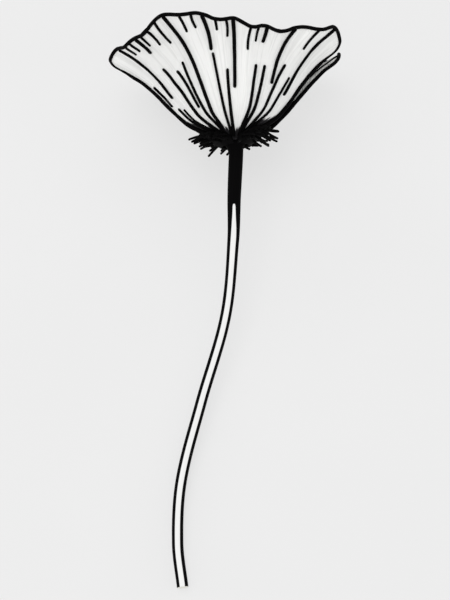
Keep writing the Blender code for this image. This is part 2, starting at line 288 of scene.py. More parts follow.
def cup_point(around, along, outward):
    """A point of the cup: round its axis, along it from the claws at 0 to the rim at 1, and out from it."""
    reach = (
        abs(math.cos(around) / SIDE_REACH) ** CUP_SQUARENESS
        + abs(math.sin(around) / BROAD_REACH) ** CUP_SQUARENESS
    ) ** (-1 / CUP_SQUARENESS) - CLAW_RADIUS
    rise = SIDE_RISE + (BROAD_RISE - SIDE_RISE) * math.sin(around) ** 2
    swing = math.sin(TURN * along)
    turn = TURN * math.cos(TURN * along)
    climb = Vector((reach * (1 + CUP_BELLY * turn), rise * (1 - CUP_WAIST * turn))).normalized()
    radius = CLAW_RADIUS + reach * (along + CUP_BELLY * swing) + outward * climb.y
    height = CLAW_HEIGHT + rise * (along - CUP_WAIST * swing) - outward * climb.x
    return Vector((radius * math.cos(around), radius * math.sin(around), height))


def pleat_depth(around, along):
    wave = sum(
        share * math.cos(count * around + drift * math.sin(drift_count * around) + phase)
        for count, drift, drift_count, phase, share in PLEATS
    )
    return PLEAT_DEPTH * wave * smooth_step((along - PLEAT_START) / (1 - PLEAT_START))


def rim_share(petal, across):
    """How far along the cup the petal's rim is, at -1 to 1 across it, with its corners rounded."""
    waves = sum(
        height * math.sin(TURN * count * across + petal.phase * (1 + order) + shift)
        for order, (count, height, shift) in enumerate(RIM_WAVES)
    )
    plain = petal.rim + petal.slope * across + waves - petal.fall * abs(across) ** FALL_POWER
    corner = max(0.0, (abs(across) - 1 + CORNER_WIDTH) / CORNER_WIDTH)
    return plain - CORNER_FALL * (1 - math.sqrt(1 - min(corner, 1.0) ** 2))


def pressed(point, lowest):
    """The point, pressed flat where it would be under the lowest height that it may have."""
    over = point.z - lowest
    if over < -SETTLE:
        point.z = lowest
    elif over < SETTLE:
        point.z = lowest + (over + SETTLE) ** 2 / (4 * SETTLE)
    return point


def through(points, share):
    """The smooth curve through (share, value) points, read at a share."""
    last = len(points) - 1
    index = next((i for i in range(last) if share <= points[i + 1][0]), last - 1)
    (x0, y0), (x1, y1) = points[index], points[index + 1]

    def slope(i):
        before, after = points[max(i - 1, 0)], points[min(i + 1, last)]
        return (after[1] - before[1]) / (after[0] - before[0])

    width = x1 - x0
    t = (share - x0) / width
    start, end = slope(index) * width, slope(index + 1) * width
    return (
        y0 * (2 * t**3 - 3 * t**2 + 1)
        + start * (t**3 - 2 * t**2 + t)
        + y1 * (3 * t**2 - 2 * t**3)
        + end * (t**3 - t**2)
    )


# Tools for nodes, meshes and pieces

def add(tree, kind, settings=None, inputs=None):
    """Adds a node. Each input is given a value, a socket, or another node for its first output."""
    made = tree.nodes.new(kind)
    for field, value in (settings or {}).items():
        setattr(made, field, value)
    for key, value in (inputs or {}).items():
        if isinstance(key, int):
            socket = made.inputs[key]
        else:
            socket = next(each for each in made.inputs if each.enabled and each.name == key)
        if isinstance(value, bpy.types.Node):
            value = next(each for each in value.outputs if each.enabled)
        if isinstance(value, bpy.types.NodeSocket):
            tree.links.new(value, socket)
        else:
            socket.default_value = value
    return made


def calculated(tree, operation, *values):
    """Adds a node that calculates a number."""
    return add(tree, "ShaderNodeMath", {"operation": operation}, dict(enumerate(values)))


def colour(hex_code):
    """An sRGB hex colour as the linear colour that a shader takes."""
    parts = [int(hex_code[i:i + 2], 16) / 255 for i in (1, 3, 5)]
    return (*[part / 12.92 if part <= 0.04045 else ((part + 0.055) / 1.055) ** 2.4 for part in parts], 1)


def geometry_tree(name, inputs):
    """A geometry tree with named inputs, and its input node."""
    tree = bpy.data.node_groups.new(name, "GeometryNodeTree")
    tree.interface.new_socket(name="Geometry", in_out="INPUT", socket_type="NodeSocketGeometry")
    tree.interface.new_socket(name="Geometry", in_out="OUTPUT", socket_type="NodeSocketGeometry")
    for socket, kind in inputs.items():
        tree.interface.new_socket(name=socket, in_out="INPUT", socket_type="NodeSocket" + kind)
    return tree, add(tree, "NodeGroupInput")


def end_tree(tree, given, geometry):
    """Ends a tree: what it made becomes plain smooth geometry with the given material."""
    smooth = add(tree, "GeometryNodeSetShadeSmooth", {}, {"Geometry": geometry})
    real = add(tree, "GeometryNodeRealizeInstances", {}, {"Geometry": smooth})
    skin = add(tree, "GeometryNodeSetMaterial", {}, {"Geometry": real, "Material": given.outputs["Skin"]})
    add(tree, "NodeGroupOutput", {}, {"Geometry": skin})
    return tree


def evaluated(name, mesh, set_modifier):
    """The plain mesh that one modifier makes of a mesh."""
    holder = bpy.data.objects.new(name, mesh)
    bpy.context.scene.collection.objects.link(holder)
    set_modifier(holder)
    graph = bpy.context.evaluated_depsgraph_get()
    made = bpy.data.meshes.new_from_object(holder.evaluated_get(graph))
    bpy.data.objects.remove(holder)
    made.name = name
    return made


def grown(name, mesh, tree, values):
    """The plain mesh that a geometry tree makes of a mesh, with the tree's inputs set by their names."""

    def set_modifier(holder):
        modifier = holder.modifiers.new(name, "NODES")
        modifier.node_group = tree
        for socket in tree.interface.items_tree:
            if socket.in_out == "INPUT" and socket.name in values:
                modifier[socket.identifier] = values[socket.name]

    return evaluated(name, mesh, set_modifier)


def thickened(name, mesh, thickness, second_face=0):
    """A closed shell with a sheet in its middle. Its second face may take a later material."""

    def set_modifier(holder):
        modifier = holder.modifiers.new("thickness", "SOLIDIFY")
        modifier.thickness = thickness
        modifier.offset = 0
        modifier.use_even_offset = True
        modifier.material_offset = second_face

    return evaluated(name, mesh, set_modifier)


def sheet(name, columns, rows, place_point, attributes=None, merge=False):
    """A grid mapped by a formula of its place, 0 to 1 across and along, which its UV map keeps."""
    bm = bmesh.new()
    bm.loops.layers.uv.new("place")
    bmesh.ops.create_grid(bm, x_segments=columns, y_segments=rows, size=0.5, calc_uvs=True)
    layers = {key: bm.verts.layers.float_vector.new(key) for key in attributes or {}}
    for vertex in bm.verts:
        across, along = vertex.co.x + 0.5, vertex.co.y + 0.5
        vertex.co = place_point(across, along)
        for key, layer in layers.items():
            vertex[layer] = attributes[key](across, along)
    if merge:
        bmesh.ops.remove_doubles(bm, verts=bm.verts, dist=MM / 1000)
        bmesh.ops.recalc_face_normals(bm, faces=bm.faces)
    mesh = bpy.data.meshes.new(name)
    bm.to_mesh(mesh)
    bm.free()
    mesh.shade_smooth()
    return mesh


def joined(name, meshes):
    """Several meshes as one."""
    bm = bmesh.new()
    for mesh in meshes:
        bm.from_mesh(mesh)
    made = bpy.data.meshes.new(name)
    bm.to_mesh(made)
    bm.free()
    return made


def piece(name, mesh, replaced=None):
    """Puts a finished mesh in the scene as a piece that rides with the flower."""
    made = bpy.data.objects.new(name, mesh)
    bpy.context.scene.collection.objects.link(made)
    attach(made, "root")
    if replaced:
        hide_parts(replaced)


def painted(mesh, material):
    mesh.materials.clear()
    mesh.materials.append(material)
    return mesh


# Materials

def new_material(name):
    made = bpy.data.materials.new(name)
    made.use_nodes = True
    tree = made.node_tree
    return made, tree, tree.nodes["Principled BSDF"]


def mixed(tree, share, first, second):
    """A colour between two colours."""
    mix = add(tree, "ShaderNodeMix", {"data_type": "RGBA"}, {"Factor": share, "A": first, "B": second})
    return mix.outputs[2]


def roughen(tree, shader, height, strength, depth):
    """Gives the surface a fine relief, as a texture says."""
    relief = add(tree, "ShaderNodeBump", {}, {"Strength": strength, "Distance": depth, "Height": height})
    tree.links.new(relief.outputs[0], shader.inputs["Normal"])


def finished(made, shader, values):
    for name, value in values.items():
        shader.inputs[name].default_value = value
    return made


def petal_tissue(name, blotch_top, blotch_feather):
    """A poppy petal: bare tissue only a few cells thick, crushed in the bud and never quite smooth again.

    It looks like white crepe: silky, faintly see-through, with a fine net of grey veins that fan out from
    the base, and a black blotch there with a feathered edge. The blotch reaches further up the inner face,
    and further up at the petal's sides than in its middle.
    """
    made, tree, shader = new_material(name)
    place = add(tree, "ShaderNodeUVMap", {"uv_map": "place"})
    fan = add(tree, "ShaderNodeMapping", {}, {
        "Vector": place, "Scale": (RIM_LENGTH / (1.3 * MM), PETAL_LENGTH / (30 * MM), 1)})
    net = add(tree, "ShaderNodeTexNoise", {"noise_dimensions": "2D"}, {
        "Vector": fan, "Scale": 1, "Detail": 2, "Distortion": 0.3})
    net_line = add(tree, "ShaderNodeMapRange", {"interpolation_type": "SMOOTHSTEP"}, {
        "Value": net, "From Min": 0.5, "From Max": 0.68, "To Min": 0, "To Max": 0.7})
    tissue = mixed(tree, net_line, colour("#F4F4F2"), colour("#E4E4E2"))
    flames = add(tree, "ShaderNodeMapping", {}, {
        "Vector": place, "Scale": (RIM_LENGTH / (5 * MM), PETAL_LENGTH / (60 * MM), 1)})
    flame = add(tree, "ShaderNodeTexNoise", {"noise_dimensions": "2D"}, {
        "Vector": flames, "Scale": 1, "Detail": 3, "Roughness": 0.7})
    parts = add(tree, "ShaderNodeSeparateXYZ", {}, {"Vector": place})
    edge = calculated(tree, "MULTIPLY_ADD", flame, -blotch_feather, blotch_top)
    off_middle = calculated(tree, "SUBTRACT", parts.outputs["X"], 0.5)
    squared = calculated(tree, "MULTIPLY", off_middle, off_middle)
    fourth = calculated(tree, "MULTIPLY", squared, squared)
    bowed = calculated(tree, "MULTIPLY_ADD", fourth, BLOTCH_BOW, edge)
    depth = calculated(tree, "SUBTRACT", bowed, parts.outputs["Y"])
    blotch = add(tree, "ShaderNodeMapRange", {"interpolation_type": "SMOOTHSTEP"}, {
        "Value": depth, "From Min": 0, "From Max": 0.025})
    stained = mixed(tree, blotch, tissue, colour("#121013"))
    tree.links.new(stained, shader.inputs["Base Color"])
    crepe = add(tree, "ShaderNodeMapping", {}, {
        "Vector": place, "Scale": (RIM_LENGTH / (1.1 * MM), PETAL_LENGTH / (4 * MM), 1)})
    grain = add(tree, "ShaderNodeTexNoise", {"noise_dimensions": "2D"}, {
        "Vector": crepe, "Scale": 1, "Detail": 4, "Distortion": 0.6})
    roughen(tree, shader, grain, 0.3, 0.15 * MM)
    return finished(made, shader, {
        "Roughness": 0.65, "Specular IOR Level": 0.2, "Sheen Weight": 0.05,
        "Subsurface Weight": 0.35, "Subsurface Radius": (1, 1, 1), "Subsurface Scale": 0.8 * MM})


def vein_pigment():
    """The petals' raised veins and rim: the same tissue, swollen and soaked with near-black pigment.

    It looks like dried ink with a slight grain, and hardly any gloss.
    """
    made, tree, shader = new_material("black_vein_tissue")
    place = add(tree, "ShaderNodeTexCoord")
    mottle = add(tree, "ShaderNodeTexNoise", {}, {
        "Vector": place.outputs["Object"], "Scale": 1 / (1.2 * MM), "Detail": 3})
    ink = mixed(tree, mottle, colour("#020202"), colour("#090809"))
    tree.links.new(ink, shader.inputs["Base Color"])
    roughen(tree, shader, mottle, 0.3, 0.05 * MM)
    return finished(made, shader, {"Roughness": 0.7, "Specular IOR Level": 0.03})


def sepal_skin():
    """The calyx: leathery bracts with stiff bristles, dried to near black.

    It looks matt, with a fine pebbled skin and a slight shine on the bristles' sides.
    """
    made, tree, shader = new_material("bristly_sepal_skin")
    place = add(tree, "ShaderNodeTexCoord")
    pebbles = add(tree, "ShaderNodeTexVoronoi", {}, {
        "Vector": place.outputs["Object"], "Scale": 1 / (0.6 * MM)})
    mottle = add(tree, "ShaderNodeTexNoise", {}, {
        "Vector": place.outputs["Object"], "Scale": 1 / (3 * MM), "Detail": 3})
    skin = mixed(tree, mottle, colour("#020202"), colour("#0A090A"))
    tree.links.new(skin, shader.inputs["Base Color"])
    roughen(tree, shader, pebbles, 0.4, 0.1 * MM)
    return finished(made, shader, {"Roughness": 0.7, "Specular IOR Level": 0.04})


def stem_skin():
    """The stem: a smooth waxy skin, pale in three grooves and black on the ribs between them and the neck.

    It looks matt, with fine fibres along its length, and the cut end shows the pale spongy pith.
    """
    made, tree, shader = new_material("ribbed_stem_skin")
    place = add(tree, "ShaderNodeUVMap", {"uv_map": "place"})
    parts = add(tree, "ShaderNodeSeparateXYZ", {}, {"Vector": place})
    fibres = add(tree, "ShaderNodeMapping", {}, {"Vector": place, "Scale": (44, 9, 1)})
    fibre = add(tree, "ShaderNodeTexNoise", {"noise_dimensions": "2D"}, {
        "Vector": fibres, "Scale": 1, "Detail": 3, "Roughness": 0.6})
    pale = mixed(tree, fibre, colour("#F4F4F3"), colour("#E2E2E1"))
    dark = mixed(tree, fibre, colour("#020202"), colour("#080708"))
    turned = calculated(tree, "MULTIPLY_ADD", parts.outputs["X"], STEM_RIBS, 0.5)
    round_rib = calculated(tree, "FRACT", turned)
    off_middle = calculated(tree, "SUBTRACT", round_rib, 0.5)
    away = calculated(tree, "ABSOLUTE", off_middle)
    width = add(tree, "ShaderNodeAttribute", {"attribute_name": "pale"})
    width_parts = add(tree, "ShaderNodeSeparateXYZ", {}, {"Vector": width.outputs["Vector"]})
    waver = calculated(tree, "MULTIPLY_ADD", fibre, 0.03, away)
    depth = calculated(tree, "SUBTRACT", width_parts.outputs["X"], waver)
    stripe = add(tree, "ShaderNodeMapRange", {"interpolation_type": "SMOOTHSTEP"}, {
        "Value": depth, "From Min": -0.022, "From Max": 0.002})
    skin = mixed(tree, stripe, dark, pale)
    whole = mixed(tree, width_parts.outputs["Y"], skin, colour("#E9E8DF"))
    tree.links.new(whole, shader.inputs["Base Color"])
    roughen(tree, shader, fibre, 0.25, 0.1 * MM)
    return finished(made, shader, {"Roughness": 0.7, "Specular IOR Level": 0.03})


def stamen_tissue():
    """Stamens: thin black threads with powdery anthers of dark pollen. They look matt and sooty."""
    made, tree, shader = new_material("black_pollen")
    place = add(tree, "ShaderNodeTexCoord")
    powder = add(tree, "ShaderNodeTexNoise", {}, {
        "Vector": place.outputs["Object"], "Scale": 1 / (0.25 * MM), "Detail": 3})
    soot = mixed(tree, powder, colour("#1B191B"), colour("#45413F"))
    tree.links.new(soot, shader.inputs["Base Color"])
    roughen(tree, shader, powder, 0.6, 0.08 * MM)
    return finished(made, shader, {"Roughness": 0.85, "Specular IOR Level": 0.15})


def capsule_skin():
    """The seed capsule: waxy pale skin with a bloom on it, and velvety black rays on its cap."""
    made, tree, shader = new_material("waxy_capsule_skin")
    place = add(tree, "ShaderNodeTexCoord")
    bloom = add(tree, "ShaderNodeTexNoise", {}, {
        "Vector": place.outputs["Object"], "Scale": 1 / (2 * MM), "Detail": 4})
    wax = mixed(tree, bloom, colour("#B9BBB4"), colour("#DDDED8"))
    ray = add(tree, "ShaderNodeAttribute", {"attribute_name": "ray"})
    ray_parts = add(tree, "ShaderNodeSeparateXYZ", {}, {"Vector": ray.outputs["Vector"]})
    velvet = add(tree, "ShaderNodeMapRange", {"interpolation_type": "SMOOTHSTEP"}, {
        "Value": ray_parts.outputs["X"], "From Min": 0.25, "From Max": 0.5})
    skin = mixed(tree, velvet, wax, colour("#141214"))
    tree.links.new(skin, shader.inputs["Base Color"])
    roughen(tree, shader, bloom, 0.3, 0.1 * MM)
    return finished(made, shader, {"Roughness": 0.6})


def painted_glow_table():
    """The table under the flower: opal acrylic whose painted glow fills in most of the flower's shadow on
    it.
    """
    made, tree, shader = new_material("painted_glow_opal_acrylic")
    place = add(tree, "ShaderNodeTexCoord")
    cloud = add(tree, "ShaderNodeTexNoise", {}, {
        "Vector": place.outputs["Object"], "Scale": 1 / (90 * MM), "Detail": 2})
    acrylic = mixed(tree, cloud, colour("#868686"), colour("#8C8C8C"))
    tree.links.new(acrylic, shader.inputs["Base Color"])
    # The emission is a painted glow with no lamp behind it: it lightens the shadow on the table and lights
    # the flower from below.
    return finished(made, shader, {
        "Roughness": 0.9, "Specular IOR Level": 0.1, "Emission Color": colour("#FFFFFF"),
        "Emission Strength": TABLE_GLOW})


# Petals

def crinkle(petal, across, share):
    """How far the crushed tissue stands off the smooth petal: creases that fan out, between soft facets."""
    fan = across * petal.spread * SIDE_REACH / MM
    length = share * PETAL_LENGTH / MM
    wander = noise.noise(Vector((fan / WANDER_SIZE[0], length / WANDER_SIZE[1], petal.phase)))
    crease = noise.noise(Vector((
        fan / CREASE_SIZE[0] + CREASE_WANDER * wander, length / CREASE_SIZE[1], petal.phase + 5)))
    nearest, second = noise.voronoi(Vector((
        fan / FACET_SIZE[0] + FACET_WANDER[0] * wander,
        length / FACET_SIZE[1] + FACET_WANDER[1] * wander,
        petal.phase * 3)))[0][:2]
    height = CREASE_DEPTH * crease + FACET_DEPTH * (second - nearest - FACET_LEVEL)
    return height * smooth_step(share / CRINKLE_START)


def petal_point(petal, across, along, lift=0.0):
    """A point of a petal's middle, or lifted off it, at -1 to 1 across it and 0 to 1 along it, in place."""
    across = min(max(across, -1.0), 1.0)
    share = along * rim_share(petal, across)
    opening = CLAW_SHARE + (1 - CLAW_SHARE) * smooth_step(share / CLAW_LENGTH)
    around = petal.facing + across * petal.spread * opening
    own = OWN_WAVE * math.sin(TURN * OWN_WAVE_COUNT * across + petal.phase) * share**2
    curl = petal.curls[across > 0] * MM * abs(across) ** CURL_POWER * share
    pleat = pleat_depth(around, share) * smooth_step((1 - abs(across)) / PLAIN_EDGE)
    outward = petal.layer * (LAYER_GAP + LAYER_OPENING * share**2 + curl + lift) + own + pleat
    point = BLOOM @ cup_point(around, share, outward + crinkle(petal, across, share))
    return pressed(point, SOLID_THICKNESS / 2)


def make_petal(name, outer_tissue, inner_tissue):
    petal = PETALS[name]
    columns = round(2 * petal.spread * SIDE_REACH / COLUMN_WIDTH * MEAN_REACH)
    mesh = sheet(name, columns, PETAL_ROWS, lambda u, v: petal_point(petal, 2 * u - 1, v))
    mesh.materials.append(outer_tissue)
    mesh.materials.append(inner_tissue)
    shell = thickened(name, mesh, TISSUE_THICKNESS, second_face=1)
    piece(name, shell, name)


# Veins and rims

def line_tree():
    """Sweeps a round section along lines, as wide as each point of a line says."""
    tree, given = geometry_tree("raised_lines", {"Sides": "Int", "Skin": "Material"})
    width = add(tree, "GeometryNodeInputNamedAttribute", {"data_type": "FLOAT"}, {"Name": "half_width"})
    curve = add(tree, "GeometryNodeMeshToCurve", {}, {"Mesh": given.outputs["Geometry"]})
    circle = add(tree, "GeometryNodeCurvePrimitiveCircle", {}, {
        "Resolution": given.outputs["Sides"], "Radius": 1})
    swept = add(tree, "GeometryNodeCurveToMesh", {}, {
        "Curve": curve, "Profile Curve": circle, "Scale": width, "Fill Caps": True})
    return end_tree(tree, given, swept)


def lines_mesh(name, petal, lines):
    """The input of the line tree: each line is a list of (across, along, lift, half width)."""
    points, edges, widths = [], [], []
    for line in lines:
        first = len(points)
        for across, along, lift, half_width in line:
            points.append(petal_point(petal, across, along, lift))
            widths.append(half_width)
        edges += [(number, number + 1) for number in range(first, len(points) - 1)]
    mesh = bpy.data.meshes.new(name)
    mesh.from_pydata(points, edges, [])
    mesh.attributes.new("half_width", "FLOAT", "POINT").data.foreach_set("value", widths)
    return mesh


def rim_line():
    """The petal's free edge: up one side from the claw, along the rim, and down the other side."""
    side = [number / SIDE_LINE_POINTS for number in range(SIDE_LINE_POINTS)]
    rim = [-math.cos(math.pi * number / RIM_LINE_POINTS) for number in range(RIM_LINE_POINTS + 1)]
    route = [(-1.0, along) for along in side] + [(across, 1.0) for across in rim]
    route += [(1.0, along) for along in reversed(side)]
    line = []
    for across, along in route:
        lift = SIDE_LIFT * smooth_step((1 - along) * LIFT_STEEPNESS)
        line.append((across, along, lift, RIM_LINE / 2 * (1 + SIDE_SWELL * (1 - along))))
    return line


def fold_lines(petal):
    """Where the petal's folds are deepest at the rim, which is where its veins run."""
    places = [2 * number / FOLD_STEPS - 1 for number in range(FOLD_STEPS + 1)]
    heights = [pleat_depth(petal.facing + place * petal.spread, 1.0) for place in places]
    return [
        places[number] for number in range(FOLD_MARGIN, FOLD_STEPS - FOLD_MARGIN)
        if heights[number] < heights[number - 1] and heights[number] <= heights[number + 1]
    ]


Vein = namedtuple("Vein", "across start end width")


def vein_rule(petal):
    """The petal's veins: down the folds from the rim, up from the base, short ones at the rim, loose ones.

    A vein that would come too near another one beside it is left out.
    """
    draw = random.Random(petal.seed)
    veins = []

    def put(across, start, end, width):
        low, high = min(start, end), max(start, end)
        crowded = any(
            abs(other.across - across) < VEIN_ROOM
            and low < max(other.start, other.end)
            and high > min(other.start, other.end)
            for other in veins
        )
        if abs(across) < VEIN_LIMIT and not crowded:
            veins.append(Vein(across, start, end, width))

    for number, fold in enumerate(fold_lines(petal)):
        put(fold, VEIN_TOP, 1 - draw.uniform(*FOLD_VEINS[number % len(FOLD_VEINS)]), VEIN_WIDE)
    for number in range(BASE_VEINS):
        across = -BASE_REACH + 2 * BASE_REACH * (number + draw.uniform(*BASE_JITTER)) / BASE_VEINS
        put(across, VEIN_FOOT, draw.uniform(*BASE_VEIN), draw.uniform(VEIN_THIN, VEIN_WIDE))
    for _ in range(SHORT_TRIES):
        across = draw.triangular(-VEIN_REACH, VEIN_REACH, 0)
        put(across, VEIN_TOP, 1 - draw.uniform(*SHORT_VEIN), VEIN_THIN)
    for _ in range(LOOSE_TRIES):
        start = draw.uniform(*LOOSE_START)
        across = draw.uniform(-VEIN_REACH, VEIN_REACH)
        end = start - draw.uniform(*LOOSE_VEIN)
        put(across, start, end, draw.uniform(VEIN_THIN, VEIN_WIDE))
    return veins


def vein_line(petal, vein, draw):
    """A vein's points, from its wide start to its thin end, both rounded, with a slight bow across."""
    length = abs(vein.start - vein.end) * PETAL_LENGTH
    bow = draw.uniform(-VEIN_BOW, VEIN_BOW) * abs(vein.start - vein.end)
    line = []
    for number in range(VEIN_POINTS + 1):
        passed = (1 - math.cos(math.pi * number / VEIN_POINTS)) / 2
        taper = 1 - VEIN_TAPER * passed
        end = min(passed, 1 - passed) * length / (vein.width / 2)
        rounding = math.sqrt(1 - (1 - min(end, 1.0)) ** 2)
        along = vein.start + (vein.end - vein.start) * passed
        across = vein.across + bow * passed * (1 - passed) * 2
        line.append((across, along, VEIN_LIFT, vein.width / 2 * taper * max(rounding, VEIN_TIP)))
    return line


def make_lines(name, tree, pigment):
    """A petal's veins and its rim, as one piece of dark raised lines."""
    petal = PETALS[name]
    draw = random.Random(petal.seed + 1)
    lines = [rim_line()] + [vein_line(petal, vein, draw) for vein in vein_rule(petal)]
    mesh = lines_mesh(name, petal, lines)
    mesh = grown(name + "_veins", mesh, tree, {"Sides": LINE_SIDES, "Skin": pigment})
    for vertex in mesh.vertices:
        vertex.co = pressed(vertex.co.copy(), 0)
    piece(name + "_veins", painted(mesh, pigment))


# Sepals

def bristle_tree():
    """Plants a bristle on each point of a mesh: a rod with a round end, which leans as the point says."""
    tree, given = geometry_tree("bristles", {
        "Radius": "Float", "Taper": "Float", "Bend": "Float", "Steps": "Int", "Sides": "Int",
        "Skin": "Material"})
    way = add(tree, "GeometryNodeInputNamedAttribute", {"data_type": "FLOAT_VECTOR"}, {"Name": "way"})
    length = add(tree, "GeometryNodeInputNamedAttribute", {"data_type": "FLOAT"}, {"Name": "length"})
    turn = add(tree, "FunctionNodeAlignRotationToVector", {"axis": "Z"}, {"Vector": way})
    size = add(tree, "ShaderNodeCombineXYZ", {}, {"X": 1, "Y": 1, "Z": length})
    bow = add(tree, "ShaderNodeCombineXYZ", {}, {"X": given.outputs["Bend"], "Z": 0.5})
    rod = add(tree, "GeometryNodeCurveQuadraticBezier", {}, {
        "Resolution": given.outputs["Steps"], "Start": (0, 0, 0), "Middle": bow, "End": (0, 0, 1)})
    passed = add(tree, "GeometryNodeSplineParameter")
    taper = calculated(tree, "MULTIPLY", passed.outputs["Factor"], given.outputs["Taper"])
    thick = calculated(tree, "SUBTRACT", 1, taper)
    ending = add(tree, "ShaderNodeMapRange", {}, {
        "Value": passed.outputs["Factor"], "From Min": BRISTLE_ROUND_FROM})
    squared = calculated(tree, "MULTIPLY", ending, ending)
    left = calculated(tree, "SUBTRACT", 1, squared)
    rounded = calculated(tree, "SQRT", left)
    scale = calculated(tree, "MULTIPLY", thick, rounded)
    section = add(tree, "GeometryNodeCurvePrimitiveCircle", {}, {
        "Resolution": given.outputs["Sides"], "Radius": given.outputs["Radius"]})
    bristle = add(tree, "GeometryNodeCurveToMesh", {}, {
        "Curve": rod, "Profile Curve": section, "Scale": scale, "Fill Caps": True})
    planted = add(tree, "GeometryNodeInstanceOnPoints", {}, {
        "Points": given.outputs["Geometry"], "Instance": bristle, "Rotation": turn, "Scale": size})
    return end_tree(tree, given, planted)


def sepal_point(name, across, along, outward=SEPAL_OFFSET, toothed=0.0):
    """A point of a sepal's middle, at -1 to 1 across it and 0 to 1 along it, in the bloom's frame."""
    facing, tip, _ = SEPALS[name]
    tooth = toothed * SEPAL_TOOTH * math.sin(math.pi * SEPAL_TEETH * across) * along**3
    share = SEPAL_FOOT + (tip - SEPAL_FOOT) * along * (1 - SEPAL_FALL * across**2 + tooth)
    around = facing + across * SEPAL_SPREAD * (1 - SEPAL_NARROWING * along**2)
    return cup_point(around, share, outward)


def bristle_feet(name):
    """A mesh of evenly spread points, one for each bristle, with the way it leans and its length."""
    draw = random.Random(SEPALS[name][2])
    roots, ways, lengths = [], [], []
    for number in range(BRISTLES):
        across = BRISTLE_ACROSS * (2 * (number * GOLDEN_SHARE % 1) - 1)
        along = BRISTLE_ALONG * math.sqrt((number + 0.5) / BRISTLES)
        foot = sepal_point(name, across, along)
        outwards = (sepal_point(name, across, along, SEPAL_OFFSET + MM) - foot).normalized()
        upwards = (sepal_point(name, across, along + SEPAL_STEP) - foot).normalized()
        way = outwards.cross(upwards) * draw.uniform(-BRISTLE_SIDEWAYS, BRISTLE_SIDEWAYS)
        way += outwards * draw.uniform(*BRISTLE_OUTWARDS)
        way += upwards * draw.uniform(*BRISTLE_UPWARDS)
        way.normalize()
        roots.append(foot + outwards * (SEPAL_THICKNESS / 2) - way * BRISTLE_SUNK)
        ways += way[:]
        lengths.append(draw.uniform(*BRISTLE_LENGTH))
    mesh = bpy.data.meshes.new(name + "_feet")
    mesh.from_pydata(roots, [], [])
    mesh.attributes.new("way", "FLOAT_VECTOR", "POINT").data.foreach_set("vector", ways)
    mesh.attributes.new("length", "FLOAT", "POINT").data.foreach_set("value", lengths)
    return mesh


def make_sepal(name, tree, skin):
    """Half of the calyx: a cupped bract round the petals, with a toothed edge and bristles all over it."""
    bract = sheet(name, SEPAL_COLUMNS, SEPAL_ROWS, lambda u, v: sepal_point(name, 2 * u - 1, v, toothed=1.0))
    bristles = grown(name + "_bristles", bristle_feet(name), tree, {
        "Radius": BRISTLE_RADIUS, "Taper": BRISTLE_TAPER, "Bend": BRISTLE_BEND,
        "Steps": BRISTLE_STEPS, "Sides": BRISTLE_SIDES, "Skin": skin})
    shell = thickened(name, bract, SEPAL_THICKNESS)
    mesh = painted(joined(name, [shell, bristles]), skin)
    mesh.transform(BLOOM)
    piece(name, mesh, name)


# Stem

def stem_point(share, start):
    """The stem's centre line, from under the bloom at 0 to the cut end at 1."""
    end_height = STEM_RADIUS / math.cos(STEM_END_TILT)
    height = (
        start.z * (2 * share**3 - 3 * share**2 + 1)
        - math.tan(BLOOM_TILT) * STEM_RUN * (share**3 - 2 * share**2 + share)
        + end_height * (3 * share**2 - 2 * share**3)
        - math.tan(STEM_END_TILT) * STEM_RUN * (share**3 - share**2)
    )
    sideways = start.x + through(STEM_SIDEWAYS, share) * MM
    return Vector((sideways, start.y - STEM_RUN * share, height))


def pale_width(distance):
    """How far the pale groove reaches from its middle, as a share of a third of a turn, or below 0."""
    past = distance - PALE_START
    if past <= 0:
        return -PALE_SHARE
    tip = math.sqrt(1 - (1 - min(past / PALE_TIP, 1.0)) ** 2)
    widening = PALE_TIP_SHARE + (1 - PALE_TIP_SHARE) * smooth_step(past / PALE_WIDENING)
    return PALE_SHARE / 2 * tip * widening


def stem_route():
    """The stem's rings down to the cut face: centre, radius, distance down, and 1 on the cut face."""
    rings = []
    for number in range(RECEPTACLE_ROWS):
        down = RECEPTACLE[0][0] + (RECEPTACLE[-1][0] - RECEPTACLE[0][0]) * number / RECEPTACLE_ROWS
        rings.append((BLOOM @ Vector((0, 0, -down * MM)), through(RECEPTACLE, down) * MM, 0.0, 0.0))
    start = BLOOM @ Vector((0, 0, -RECEPTACLE[-1][0] * MM))
    distance = RECEPTACLE[-1][0] * MM
    before = start
    for number in range(STEM_ROWS + 1):
        share = number / STEM_ROWS
        centre = stem_point(share, start)
        distance += (centre - before).length
        before = centre
        taper = 1 - smooth_step(share / NECK_LENGTH)
        rings.append((centre, STEM_RADIUS + (NECK_RADIUS - STEM_RADIUS) * taper, distance, 0.0))
    end = (rings[-1][0] - rings[-2][0]).normalized()
    for hollow, radius in CUT_PROFILE:
        rings.append((before + end * hollow * CUT_DEPTH * MM, STEM_RADIUS * radius, distance, 1.0))
    return rings


def make_stem(skin):
    """The receptacle and the stem, as one tube with grooves, closed over its cut end."""
    rings = stem_route()
    towards_camera = Vector((0, -math.cos(CAMERA_ELEVATION), math.sin(CAMERA_ELEVATION)))
    last = len(rings) - 1
    frames = []
    for number, (centre, _, _, cut) in enumerate(rings):
        if cut:
            frames.append(frames[-1])
            continue
        way = (rings[number + 1][0] - rings[max(number - 1, 0)][0]).normalized()
        top = (towards_camera - way * towards_camera.dot(way)).normalized()
        frames.append((top, way.cross(top)))

    def groove(u, distance):
        away = abs((u * STEM_RIBS + 0.5) % 1 - 0.5)
        return STEM_GROOVE_DEPTH * smooth_step((pale_width(distance) - away) / GROOVE_EDGE + 0.5)

    def place_point(u, v):
        number = round(v * last)
        centre, radius, distance, cut = rings[number]
        top, side = frames[number]
        if not cut:
            radius -= groove(u, distance)
        return centre + (top * math.cos(TURN * u) + side * math.sin(TURN * u)) * radius

    def pale(u, v):
        _, _, distance, cut = rings[round(v * last)]
        return Vector((pale_width(distance), cut, 0))

    mesh = sheet("stem", STEM_SIDES, last, place_point, {"pale": pale}, merge=True)
    piece("stem", painted(mesh, skin), "stem")


# Stamens and capsule

